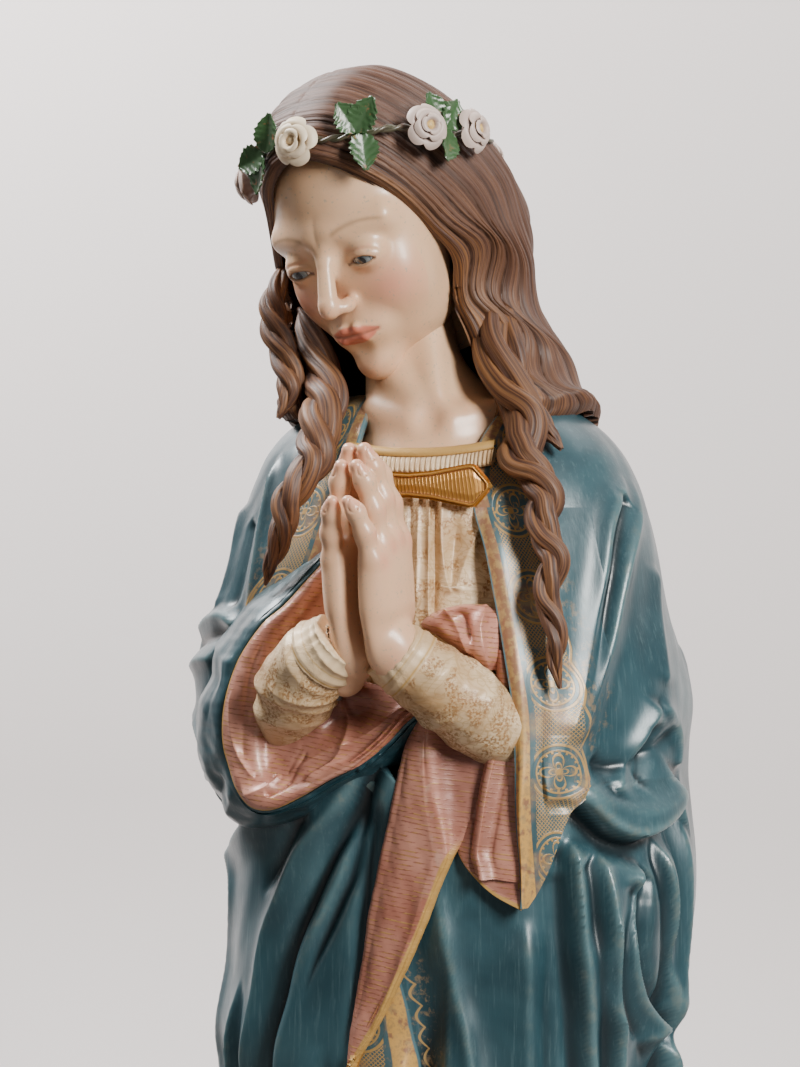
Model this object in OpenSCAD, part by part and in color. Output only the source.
// Praying madonna: a hollow-cast figure on a wooden plinth, with plugged-in hands,
// glass eyes and a wreath of separately made roses.
// The figure faces -Y. Left and right are the figure's own.

/* [Plinth] */
// Width of the plinth, side to side
plinth_w = 400; // [380:1:460]
// Depth of the plinth, front to back
plinth_d = 390; // [384:1:450]
// Height of the plinth
plinth_h = 45; // [40:1:80]
// Corner cut of the plinth
plinth_cut = 62; // [30:1:90]
// Height of the ground slab that the figure is cast with
ground_h = 20; // [16:1:30]

/* [Fixings] */
// Diameter of the iron rod inside the figure
rod_d = 14; // [10:1:18]
// Diameter of the plinth screws
screw_d = 6; // [4:0.5:8]
// Distance of the plinth screws from the centre, side to side
screw_x = 105; // [80:1:110]
// Distance of the plinth screws from the centre, front to back
screw_y = 95; // [70:1:100]
// Diameter of the pins in the wrists
wrist_pin_d = 6; // [4:0.5:7]
// Diameter of the dowel in the neck
neck_dowel_d = 18; // [12:1:22]

/* [Casting] */
// Wall of the mantle
mantle_wall = 12; // [9:1:14]
// Wall of the gown
gown_wall = 10; // [8:1:12]
// Gap between neighbouring pieces
gap = 0.4; // [0.3:0.1:1]

/* [Head] */
// Turn of the head towards the figure's right
head_turn = 17; // [10:1:22]
// Bow of the head
head_bow = 27; // [22:1:30]
// Tilt of the head towards its right shoulder
head_tilt = 9; // [4:1:12]
// Diameter of the glass eyes
eye_d = 23; // [21:0.5:25]

/* [Wreath] */
// Width of the wreath's stem
stem_d = 4; // [3:0.5:5]
// Diameter of a rose
rose_d = 27; // [22:1:30]
// Diameter of a rose's wire pin
rose_pin_d = 2; // [1.5:0.5:3]

/* [Hidden] */

blue = "steelblue";
pink = "rosybrown";
cream = "wheat";
gold = "goldenrod";
skin = "bisque";
brown = "saddlebrown";
green = "darkolivegreen";
iron = "dimgray";

drawn_base = 65;                    // base height that the figure's levels are drawn over
lift = plinth_h + ground_h - drawn_base;
head_at = [-31, -36, 1200];         // middle of the head
hands_at = [-6, -146, 926];         // between the wrists
hands_turn = -16;                   // turn of the joined hands about the upright
eye_x = 24;                         // eye centres, in the head's frame
eye_y = -56;
eye_z = -4;
wreath_z = 34;                      // wreath's middle, in the head's frame
wreath_y = 20;
wreath_a = 75;                      // wreath's half width and half depth
wreath_b = 86;
wreath_rake = -26;                  // wreath sits higher at the front

// Mantle levels: height, half width, front depth, back depth, middle in x
mantle_levels = [[92, 158, 138, 146, 4], [160, 154, 134, 142, 4], [260, 148, 128, 136, 4],
    [380, 143, 124, 130, 4], [500, 140, 122, 126, 5], [600, 138, 121, 123, 6],
    [660, 139, 120, 121, 7], [720, 144, 118, 120, 14], [790, 147, 117, 119, 16],
    [830, 148, 117, 118, 13], [862, 156, 117, 117, 4], [892, 161, 116, 116, 3],
    [925, 157, 113, 114, 2], [955, 148, 108, 111, 4], [985, 140, 103, 108, 5],
    [1015, 131, 94, 102, 6], [1040, 121, 82, 95, 7], [1060, 106, 66, 84, 8],
    [1074, 84, 52, 68, 9], [1084, 58, 42, 50, 10]];
// Gown levels, in the same form, under the mantle
skirt_levels = [[65.4, 122, 108, 104, 2], [110, 116, 102, 98, 2], [250, 112, 96, 94, 2],
    [450, 108, 94, 90, 3], [650, 106, 92, 88, 5], [820, 104, 88, 86, 5], [858, 100, 86, 84, 4]];
bodice_levels = [[859, 100, 86, 84, 4], [900, 104, 90, 84, 4], [950, 106, 92, 84, 5],
    [990, 102, 90, 80, 6], [1020, 92, 84, 74, 7], [1042, 78, 74, 66, 8], [1056, 64, 64, 56, 9]];
bust_levels = [[1000, 60, 60, 50, 8], [1030, 58, 62, 48, 9], [1052, 54, 58, 46, 9],
    [1066, 46, 48, 42, 8], [1078, 37, 38, 38, 5], [1092, 31, 34, 34, 0],
    [1108, 29, 33, 33, -6], [1126, 29, 34, 33, -13]];
lean = [0, 0, 0, -1, -4, -8, -12, -16]; // how far each level of the neck leans forward

// Slow folds of the robes: depth of fold and number round the figure
skirt_fold = 4;
skirt_folds = 15;
mantle_fold = 5;
mantle_folds = 13;
round_sides = 36;

// Edges of the chest opening of the mantle, seen from the front: x and height
chest_opening = [[-44, 1110], [-38, 1080], [-40, 1030], [-58, 980], [-84, 930], [-92, 880],
    [-60, 852], [70, 852], [76, 880], [66, 940], [52, 1000], [45, 1040], [54, 1080], [62, 1110]];
// Opening of the mantle over the feet
hem_opening = [[-86, 60], [-46, 150], [38, 250], [92, 150], [112, 60]];
// The turned-back flap of the mantle: x and height
flap = [[12, 890], [-5, 790], [-26, 680], [-34, 640], [-10, 690], [8, 722], [38, 782],
    [62, 820], [60, 850], [46, 890]];
// The clasp across the chest
clasp_outline = [[-44, 1029], [-37, 1042], [4, 1036], [42, 1042], [52, 1029], [42, 1014],
    [4, 1020], [-36, 1014]];

function unit(v) = v / norm(v);
function flat(lists) = [for (l = lists) each l];
function fold_wave(t, z, depth, count, low, high) =
    depth * max(0, min(1, (high - z) / (high - low))) * cos(count * t + z / 6);
// One level of a robe: an oval with a deeper or shallower back, pushed out by grow
function level(v, grow, depth, count, low, high) =
    [for (i = [0 : round_sides - 1])
        let (t = 360 * i / round_sides,
             b = sin(t) > 0 ? v[3] : v[2],
             f = grow + fold_wave(t, v[0], depth, count, low, high))
        [v[4] + (v[1] + f) * cos(t), (b + f) * sin(t), v[0]]];
function levels(table, grow, depth = 0, count = 1, low = 0, high = 1) =
    [for (v = table) level(v, grow, depth, count, low, high)];
function move_ring(ring, by) = [for (p = ring) p + by];
function moved_levels(rings, by) = [for (i = [0 : len(rings) - 1]) move_ring(rings[i], [0, by[i], 0])];

// A point between b and c on a smooth curve that also looks at a and d
function curve_point(a, b, c, d, s) =
    0.5 * ((2 * b) + (c - a) * s + (2 * a - 5 * b + 4 * c - d) * s * s
        + (3 * b - a - 3 * c + d) * s * s * s);
function smooth_path(p, steps) =
    concat([for (k = [0 : len(p) - 2], i = [0 : steps - 1])
        curve_point(p[max(k - 1, 0)], p[k], p[k + 1], p[min(k + 2, len(p) - 1)], i / steps)],
        [p[len(p) - 1]]);
function heading(p, k) = unit(p[min(k + 1, len(p) - 1)] - p[max(k - 1, 0)]);
// A flattened tube's ring: wide across, deep towards face
function tube_ring(p, k, wide, deep, face, sides) =
    let (t = heading(p, k), s = unit(cross(face, t)), u = cross(t, s))
    [for (i = [0 : sides - 1]) p[k] + s * wide * cos(360 * i / sides) + u * deep * sin(360 * i / sides)];

// A closed solid through rings with equally many points
module loft(rings) {
    n = len(rings[0]);
    m = len(rings);
    polyhedron(points = flat(rings), convexity = 8, faces = concat(
        [[for (i = [0 : n - 1]) i]],
        [for (k = [0 : m - 2], i = [0 : n - 1]) let (j = (i + 1) % n) [k * n + i, (k + 1) * n + i, (k + 1) * n + j]],
        [for (k = [0 : m - 2], i = [0 : n - 1]) let (j = (i + 1) % n) [k * n + i, (k + 1) * n + j, k * n + j]],
        [[for (i = [n - 1 : -1 : 0]) (m - 1) * n + i]]));
}

// A tube whose half width and half depth follow the lists wides and deeps
module tube(path, wides, deeps, face = [0, -1, 0], sides = 10, steps = 3) {
    p = smooth_path(path, steps);
    w = smooth_path([for (v = wides) [v, 0, 0]], steps);
    d = smooth_path([for (v = deeps) [v, 0, 0]], steps);
    loft([for (k = [0 : len(p) - 1]) tube_ring(p, k, w[k][0], d[k][0], face, sides)]);
}

// A flat outline, seen from the front, cut right through the figure's front half
module front_cutter(outline, depth = 260) {
    rotate([90, 0, 0]) linear_extrude(height = depth) polygon(outline);
}

// Places things in the head's own frame: face towards -Y, upright
module on_head() {
    translate(head_at) rotate([0, 0, -head_turn]) rotate([head_bow, 0, 0])
        rotate([0, -head_tilt, 0]) children();
}
// Places things at the wrists: fingers up, palms meeting on the plane x = 0
module on_hands() {
    translate(hands_at) rotate([0, 0, hands_turn]) rotate([6, 0, 0]) children();
}
module figure() translate([0, 0, lift]) children();

// ---- base -------------------------------------------------------------------------------

module canted_block(w, d, h, cut) {
    linear_extrude(height = h) polygon([[-w / 2 + cut, -d / 2], [w / 2 - cut, -d / 2],
        [w / 2, -d / 2 + cut], [w / 2, d / 2 - cut], [w / 2 - cut, d / 2], [-w / 2 + cut, d / 2],
        [-w / 2, d / 2 - cut], [-w / 2, -d / 2 + cut]]);
}
module at_screws() for (x = [-screw_x, screw_x], y = [-screw_y, screw_y]) translate([x, y, 0]) children();

step_in = 12;                       // each step of the plinth's moulding
screw_head_d = 2 * screw_d;
screw_head_h = 5;
screw_sink = 6;                     // screw heads sit this far up from the underside
washer_d = 44;
washer_h = 3;
nut_h = 11;
nut_d = 25;
nut_sink = 20;                      // depth of the recess for the nut

module plinth() color(brown) difference() {
    union() {
        canted_block(plinth_w, plinth_d, plinth_h * 0.4, plinth_cut);
        translate([0, 0, plinth_h * 0.4])
            canted_block(plinth_w - 2 * step_in, plinth_d - 2 * step_in, plinth_h * 0.35, plinth_cut - step_in / 2);
        translate([0, 0, plinth_h * 0.75])
            canted_block(plinth_w - step_in, plinth_d - step_in, plinth_h * 0.25, plinth_cut - step_in / 4);
    }
    translate([0, 0, -1]) cylinder(d = washer_d + 2, h = nut_sink + 1, $fn = 48);
    cylinder(d = rod_d + 1, h = plinth_h + 1, $fn = 48);
    at_screws() {
        translate([0, 0, -1]) cylinder(d = screw_head_d + 1, h = screw_sink + screw_head_h + 1, $fn = 32);
        cylinder(d = screw_d, h = plinth_h + 1, $fn = 32);
    }
}
module ground_slab() color(green) translate([0, 0, plinth_h]) difference() {
    canted_block(340, 326, ground_h, 78);
    translate([0, 0, -1]) cylinder(d = rod_d + 1, h = ground_h + 2, $fn = 48);
    at_screws() translate([0, 0, -1]) cylinder(d = screw_d, h = ground_h - 4, $fn = 32);
}
module plinth_screws() color(iron) at_screws() {
    translate([0, 0, screw_sink]) cylinder(d = screw_head_d, h = screw_head_h, $fn = 32);
    translate([0, 0, screw_sink + screw_head_h / 2])
        cylinder(d = screw_d, h = plinth_h + ground_h - 5 - screw_sink - screw_head_h / 2, $fn = 32);
}
module armature_rod() color(iron) translate([0, 0, 3]) cylinder(d = rod_d, h = 985 + lift, $fn = 48);
module rod_washer() color(iron) translate([0, 0, nut_sink - washer_h]) difference() {
    cylinder(d = washer_d, h = washer_h, $fn = 48);
    translate([0, 0, -1]) cylinder(d = rod_d, h = washer_h + 2, $fn = 48);
}
module rod_nut() color(iron) translate([0, 0, nut_sink - washer_h - nut_h]) difference() {
    cylinder(d = nut_d, h = nut_h, $fn = 6);
    translate([0, 0, -1]) cylinder(d = rod_d, h = nut_h + 2, $fn = 48);
}

// ---- robes ------------------------------------------------------------------------------

module skirt_form(grow) loft(levels(skirt_levels, grow, skirt_fold, skirt_folds, 60, 500));
module bodice_form(grow) loft(levels(bodice_levels, grow));
module mantle_form(grow) loft(levels(mantle_levels, grow, mantle_fold, mantle_folds, 60, 700));

module at_shoe(side) figure() translate([side * 34 + 2, -92, drawn_base]) rotate([0, 0, side * 9]) children();
module shoe_body(grow) hull() {
    translate([0, -26, 10]) scale([1, 1.25, 0.85]) sphere(r = 16 + grow, $fn = 16);
    translate([0, 6, 12]) scale([1, 1.2, 1]) sphere(r = 17 + grow, $fn = 16);
}
module shoe(side) color(brown) at_shoe(side) difference() {
    shoe_body(0);
    translate([-40, -80, gap - 40]) cube([80, 160, 40]);
}

module gown_skirt() color(cream) difference() {
    figure() difference() {
        skirt_form(0);
        translate([0, 0, -1]) skirt_form(-gown_wall);
        cylinder(d = 60, h = 1000);
    }
    at_shoe(-1) shoe_body(gap);
    at_shoe(1) shoe_body(gap);
}
module gown_bodice() color(cream) figure() difference() {
    bodice_form(0);
    loft(levels([[850, 90, 76, 74, 4], [950, 92, 78, 70, 5], [998, 80, 72, 62, 6]], 0));
    translate([0, 0, -0.01]) bust_form(gap);
    arms_form(gap);
}
module neckline_trim() color(gold) figure() difference() {
    intersection() {
        bodice_form(3);
        front_cutter([[-34, 1044], [38, 1044], [38, 1053], [-34, 1053]]);
    }
    bodice_form(gap);
    bust_form(gap);
    mantle_cut();
}
// The mantle as a solid with its openings cut, for taking out of its neighbours
module mantle_cut() difference() {
    mantle_form(gap);
    mantle_form(-mantle_wall - gap);
    front_cutter([for (p = chest_opening) [p[0] + (p[0] < 8 ? gap : -gap), p[1]]]);
}
module mantle_hollow() difference() {
    loft(levels(concat([[82, 157, 137, 145, 4]], mantle_levels), -mantle_wall, mantle_fold, mantle_folds, 60, 700));
    translate([-200, -200, 1060]) cube([400, 400, 60]);
}
module mantle() color(blue) figure() difference() {
    mantle_form(0);
    mantle_hollow();
    front_cutter(chest_opening);
    front_cutter(hem_opening);
    loft([for (v = [[1000, 70, 76, 62, 8], [1100, 52, 52, 48, 8]]) level(v, 0, 0, 1, 0, 1)]);
    sleeve_room(-1);
    sleeve_room(1);
    bodice_form(gap);
    arms_form(gap);
}
module mantle_facing() color(pink) figure() difference() {
    intersection() {
        mantle_form(7);
        front_cutter(flap);
    }
    mantle_form(gap);
    bodice_form(gap);
    arms_form(gap);
    sleeve_room(-1);
    sleeve_room(1);
}
module clasp_form() intersection() {
    loft(levels(bodice_levels, 12));
    front_cutter(clasp_outline);
}
module clasp() color(gold) figure() difference() {
    clasp_form();
    bodice_form(gap + 3);
    mantle_cut();
    on_hands() translate([-30, -60, -20]) cube([60, 70, 170]);
}
module sash_fold() color(pink) figure() difference() {
    hull() {
        translate([24, -100, 935]) scale([1.1, 0.7, 1]) sphere(r = 14, $fn = 14);
        translate([52, -98, 925]) scale([1, 0.7, 1.5]) sphere(r = 12, $fn = 14);
    }
    bodice_form(gap);
    arms_form(gap);
    mantle_cut();
    sleeve_room(1);
}

// ---- sleeves and hands ------------------------------------------------------------------

// Rings of a bell sleeve, from the arm to its hanging rim: middle, half width, half height
right_bell = [[[-92, -46, 902], 58, 60], [[-80, -80, 906], 58, 66], [[-64, -112, 912], 57, 70],
    [[-52, -140, 917], 54, 71]];
left_bell = [[[102, -40, 900], 52, 62], [[96, -66, 894], 48, 80], [[88, -92, 886], 42, 96],
    [[80, -116, 880], 36, 102]];
bell_wall = 8;
lining_wall = 3;
bell_sides = 24;
function bell_rings(bell, grow, push) = [for (k = [0 : len(bell) - 1])
    [for (i = [0 : bell_sides - 1]) let (t = 360 * i / bell_sides)
        bell[k][0] + [(bell[k][1] + grow) * cos(t), k == len(bell) - 1 ? -push : 0,
            (bell[k][2] + grow) * sin(t)]]];
module bell_form(side, grow, push = 0) loft(bell_rings(side < 0 ? right_bell : left_bell, grow, push));
module sleeve_room(side) bell_form(side, gap);

module bell_sleeve(side) color(blue) figure() difference() {
    bell_form(side, 0);
    bell_form(side, -bell_wall, 2);
    bodice_form(gap);
    skirt_form(gap);
    difference() {
        mantle_form(-mantle_wall - gap);
        front_cutter(chest_opening);
    }
    hands_room();
    if (side > 0) sleeve_room(-1);
}
module sleeve_lining(side) color(pink) figure() difference() {
    bell_form(side, -bell_wall - 2 * gap);
    bell_form(side, -bell_wall - lining_wall, 2);
    translate([-200, -80, 700]) cube([400, 100, 400]);
    bodice_form(gap);
    hands_room();
    if (side > 0) sleeve_room(-1);
}

right_arm = [[-92, -100, 880], [-72, -126, 890], [-48, -140, 906], [-30, -146, 920]];
left_arm = [[84, -98, 862], [66, -114, 876], [42, -128, 898], [18, -140, 920]];
arm_wides = [32, 31, 29, 24];
cuff_start = 0.8;
module arm_form(arm, grow) tube(arm, [for (w = arm_wides) w + grow], [for (w = arm_wides) w + grow], [0, 0, 1], 16, 2);
module arms_form(grow) {
    arm_form(right_arm, grow);
    arm_form(left_arm, grow);
}
module hands_room() {
    on_hands() translate([-30, -52, -24]) cube([60, 88, 160]);
    cuff_form(-1, gap);
    cuff_form(1, gap);
}

// Cuff: a short sleeve end round the wrist
module cuff_form(side, grow) on_hands() translate([side * 13, 2, -10]) rotate([0, -side * 26, 0])
    translate([0, 0, -8 - grow]) cylinder(r1 = 25 + grow, r2 = 22 + grow, h = 17 + 2 * grow, $fn = 36);
module cuff(side) color(cream) figure() difference() {
    intersection() {
        cuff_form(side, 0);
        side_of_palms(side);
    }
    hand_form(side, gap);
    on_hands() pin_form(side, 0);
}
module under_sleeve(side) color(cream) figure() difference() {
    arm_form(side < 0 ? right_arm : left_arm, 0);
    bodice_form(gap);
    cuff_form(-1, gap);
    cuff_form(1, gap);
    hand_form(-1, gap);
    hand_form(1, gap);
    if (side > 0) arm_form(right_arm, gap);
    on_hands() pin_form(side, 0);
    bell_rest(side);
}
// What the arm gives way to: the sleeve round it
module bell_rest(side) difference() {
    bell_form(side, gap);
    bell_form(side, -bell_wall - lining_wall - gap, 2);
}

module side_of_palms(side) on_hands() translate([side > 0 ? gap / 4 : -120 - gap / 4, -120, -120]) cube([120, 240, 320]);

// Fingers: across (to the front), height of the knuckle, length, radius
fingers = [[-17, 66, 44, 6], [-6, 71, 56, 6.6], [6, 72, 60, 6.8], [17, 69, 55, 6.8]];
module hand_form(side, grow) intersection() {
    union() {
        on_hands() {
            hull() {
                translate([side * 11, 0, 0]) scale([1, 1.45, 1]) sphere(r = 13 + grow, $fn = 14);
                translate([side * 10, -2, 34]) scale([0.85, 2.2, 1.2]) sphere(r = 12 + grow, $fn = 14);
                translate([side * 9, 0, 66]) scale([0.75, 2.2, 0.9]) sphere(r = 11 + grow, $fn = 14);
            }
            for (f = fingers) hull() {
                translate([side * 8, f[0], f[1]]) sphere(r = f[3] + 1 + grow, $fn = 10);
                translate([side * 6, f[0] * 0.55, f[1] + f[2] - f[3]]) sphere(r = f[3] - 0.8 + grow, $fn = 10);
            }
            hull() {
                translate([side * 10, 20, 26]) sphere(r = 9 + grow, $fn = 12);
                translate([side * 7, 24, 82]) sphere(r = 6.5 + grow, $fn = 12);
            }
        }
    }
    side_of_palms(side);
}
module pin_form(side, grow) translate([side * 13, 2, -6]) rotate([0, -side * 38, 0])
    translate([0, 0, -24]) cylinder(d = wrist_pin_d + 2 * grow, h = 36, $fn = 24);
module hand(side) color(skin) figure() difference() {
    hand_form(side, 0);
    on_hands() pin_form(side, 0);
}
module wrist_pin(side) color(iron) figure() on_hands() pin_form(side, 0);

// ---- neck, head and hair ----------------------------------------------------------------

function bust_rings(grow) = moved_levels(levels(bust_levels, grow), lean);
module bust_form(grow) loft(bust_rings(grow));
dowel_foot = [-2, -4, 1062];
dowel_tip = [-22, -24, 1146];
module dowel_form(grow) {
    d = dowel_tip - dowel_foot;
    translate(dowel_foot) rotate([0, acos(d[2] / norm(d)), atan2(d[1], d[0])])
        cylinder(d = neck_dowel_d + 2 * grow, h = norm(d), $fn = 36);
}
module bust() color(skin) figure() difference() {
    bust_form(0);
    dowel_form(0);
    head_form(gap);
    cylinder(d = rod_d + 1, h = 1010, $fn = 36);
}
module neck_dowel() color(brown) figure() dowel_form(0);

module head_form(grow) on_head() {
    hull() {
        translate([0, 12, 22]) scale([0.92, 1.12, 1]) sphere(r = 68 + grow, $fn = 24);
        translate([0, -24, -34]) scale([1.2, 1, 1]) sphere(r = 40 + grow, $fn = 16);
        translate([0, -50, -70]) scale([1.3, 1, 1]) sphere(r = 18 + grow, $fn = 14);
    }
    hull() {
        translate([0, -58, 4]) sphere(r = 6 + grow, $fn = 10);
        translate([0, -76, -26]) sphere(r = 7 + grow, $fn = 10);
        translate([0, -60, -30]) sphere(r = 10 + grow, $fn = 10);
    }
}
module head() color(skin) figure() difference() {
    head_form(0);
    dowel_form(0);
    on_head() for (x = [-eye_x, eye_x]) translate([x, eye_y, eye_z]) sphere(d = eye_d + 0.2, $fn = 32);
    on_head() for (s = [-1, 1]) translate([s * eye_x, eye_y - 20, eye_z - 4]) rotate([90, 0, 0])
        cylinder(d = 9, h = 40, center = true, $fn = 20);
}
module eye(side) color("lightgray") figure() on_head() translate([side * eye_x, eye_y, eye_z]) sphere(d = eye_d, $fn = 32);

module crown_form(grow) on_head() hull() {
    translate([0, 12, 22]) scale([0.93, 1.1, 1]) sphere(r = 79 + grow, $fn = 24);
    translate([0, 16, -50]) scale([1.1, 0.75, 0.8]) sphere(r = 62 + grow, $fn = 20);
}
module hair_crown() color(brown) figure() difference() {
    crown_form(0);
    head_form(gap);
    bust_form(gap);
    dowel_form(gap);
    on_head() translate([0, -20, -34]) rotate([90, 0, 0]) scale([0.74, 1.16, 1]) cylinder(r = 76, h = 120, $fn = 40);
    pin_set(0);
}

// Locks: their middle lines, wide and deep half sizes
back_lock = [[-4, 44, 1150], [4, 62, 1105], [6, 84, 1060], [6, 100, 1010], [4, 108, 960], [2, 108, 920]];
right_side = [[-64, 6, 1150], [-72, 4, 1120], [-74, -6, 1095], [-84, -18, 1078], [-88, -24, 1068]];
left_side = [[44, -2, 1170], [58, 2, 1140], [66, 4, 1112], [80, 4, 1092], [102, 2, 1076]];
right_front = [[-58, -52, 1120], [-58, -62, 1090], [-70, -78, 1062], [-82, -88, 1032], [-90, -94, 1002], [-94, -92, 975]];
left_front = [[52, -30, 1134], [50, -48, 1098], [64, -70, 1068], [82, -84, 1034], [76, -98, 1000],
    [90, -100, 964], [84, -108, 934], [92, -112, 905]];
module hair_back_form(grow) tube(back_lock, [54 + grow, 62 + grow, 66 + grow, 62 + grow, 52 + grow, 24 + grow],
    [24 + grow, 22 + grow, 17 + grow, 13 + grow, 10 + grow, 6 + grow], [0, 1, 0], 16, 2);
module side_form(side, grow) tube(side < 0 ? right_side : left_side,
    [20 + grow, 24 + grow, 24 + grow, 20 + grow, 10 + grow], [24 + grow, 24 + grow, 20 + grow, 13 + grow, 7 + grow], [0, -1, 0], 12, 2);
module front_lock_form(side, grow) {
    if (side < 0)
        tube(right_front, [15 + grow, 16 + grow, 13 + grow, 9 + grow, 7 + grow, 3 + grow],
            [10 + grow, 9 + grow, 8 + grow, 7 + grow, 6 + grow, 3 + grow], [0, -1, 0], 10, 2);
    else
        tube(left_front, [14 + grow, 17 + grow, 15 + grow, 11 + grow, 10 + grow, 9 + grow, 7 + grow, 3 + grow],
            [12 + grow, 10 + grow, 9 + grow, 8 + grow, 8 + grow, 7 + grow, 6 + grow, 3 + grow], [0, -1, 0], 10, 2);
}
module hair_back() color(brown) figure() difference() {
    hair_back_form(0);
    crown_form(gap);
    head_form(gap);
    bust_form(gap);
    mantle_form(gap);
}
module side_lock(side) color(brown) figure() difference() {
    side_form(side, 0);
    crown_form(gap);
    head_form(gap);
    bust_form(gap);
    mantle_form(gap);
    hair_back_form(gap);
}
module front_lock(side) color(brown) figure() difference() {
    front_lock_form(side, 0);
    crown_form(gap);
    head_form(gap);
    bust_form(gap);
    mantle_form(gap);
    bodice_form(gap);
    side_form(side, gap);
    sleeve_room(side);
}

// ---- wreath -----------------------------------------------------------------------------

module on_wreath(turn, out = 0) on_head() translate([0, wreath_y, wreath_z]) rotate([wreath_rake, 0, 0])
    translate([(wreath_a + out) * cos(turn), (wreath_b + out) * sin(turn), 0]) rotate([0, 0, turn]) children();
module stem_form(grow) on_head() translate([0, wreath_y, wreath_z]) rotate([wreath_rake, 0, 0]) {
    sides = 6;
    count = 30;
    r = stem_d / 2 + grow;
    rings = [for (k = [0 : count - 1]) let (t = 360 * k / count)
        [for (i = [0 : sides - 1]) let (a = -360 * i / sides)
            [(wreath_a + r * cos(a)) * cos(t), (wreath_b + r * cos(a)) * sin(t), r * sin(a)]]];
    polyhedron(points = flat(rings), convexity = 6, faces =
        [for (k = [0 : count - 1], i = [0 : sides - 1])
            let (j = (i + 1) % sides, m = (k + 1) % count) each
            [[k * sides + i, k * sides + j, m * sides + j], [k * sides + i, m * sides + j, m * sides + i]]]);
}
rose_turns = [-86, -31, -3, 62, 122, 196];
module pin_set(grow) for (t = rose_turns) on_wreath(t) rotate([0, 90, 0]) translate([0, 0, -9])
    cylinder(d = rose_pin_d + 2 * grow, h = 17, $fn = 16);
module wreath_stem() color(green) figure() difference() {
    stem_form(0);
    pin_set(0);
}
module rose_pins() color(iron) figure() pin_set(0);
// A rose: a cup of petals round a small centre
module rose(turn) color("tan") figure() difference() {
    on_wreath(turn, stem_d / 2 + gap + 1) rotate([0, 90, 0]) rotate_extrude($fn = 32)
        polygon([[0, 0], [rose_d * 0.3, 0], [rose_d * 0.46, rose_d * 0.2], [rose_d * 0.5, rose_d * 0.42],
            [rose_d * 0.42, rose_d * 0.66], [rose_d * 0.3, rose_d * 0.6], [rose_d * 0.2, rose_d * 0.66], [0, rose_d * 0.5]]);
    pin_set(0);
    crown_form(gap);
}
module leaf(length, turn_up) rotate([turn_up, 0, 0]) translate([3, 0, 0])
    hull() for (s = [0, 0.5, 1]) translate([2 + 2 * s, 0, length * s])
        scale([0.5, s == 0.5 ? 2.6 : 1, 1]) sphere(r = 3, $fn = 8);
module leaf_sprig(turn, turns_up) color(green) figure() difference() {
    for (a = turns_up) on_wreath(turn, stem_d / 2 + 1) leaf(21, a);
    crown_form(gap);
    stem_form(gap);
}

plinth();
ground_slab();
plinth_screws();
armature_rod();
rod_washer();
rod_nut();
shoe(1);  // left_shoe
shoe(-1);  // right_shoe
gown_skirt();
gown_bodice();
neckline_trim();
mantle();
mantle_facing();
clasp();
sash_fold();
bell_sleeve(-1);  // right_bell_sleeve
bell_sleeve(1);  // left_bell_sleeve
sleeve_lining(-1);  // right_sleeve_lining
sleeve_lining(1);  // left_sleeve_lining
under_sleeve(-1);  // right_under_sleeve
under_sleeve(1);  // left_under_sleeve
cuff(-1);  // right_cuff
cuff(1);  // left_cuff
hand(-1);  // right_hand
hand(1);  // left_hand
wrist_pin(-1);  // right_wrist_pin
wrist_pin(1);  // left_wrist_pin
bust();
neck_dowel();
head();
eye(-1);  // right_eye
eye(1);  // left_eye
hair_crown();
hair_back();
side_lock(-1);  // right_side_lock
side_lock(1);  // left_side_lock
front_lock(-1);  // right_front_lock
front_lock(1);  // left_front_lock
wreath_stem();
rose_pins();
rose(rose_turns[0]);  // rose_front_right
rose(rose_turns[1]);  // rose_front_left
rose(rose_turns[2]);  // rose_left
rose(rose_turns[3]);  // rose_back_left
rose(rose_turns[4]);  // rose_back_right
rose(rose_turns[5]);  // rose_right
leaf_sprig(-57, [70, -60, 180]);  // leaf_sprig_front
leaf_sprig(-17, [26, 146]);  // leaf_sprig_left
leaf_sprig(-106, [40, 160]);  // leaf_sprig_right
leaf_sprig(92, [62, -40]);  // leaf_sprig_back
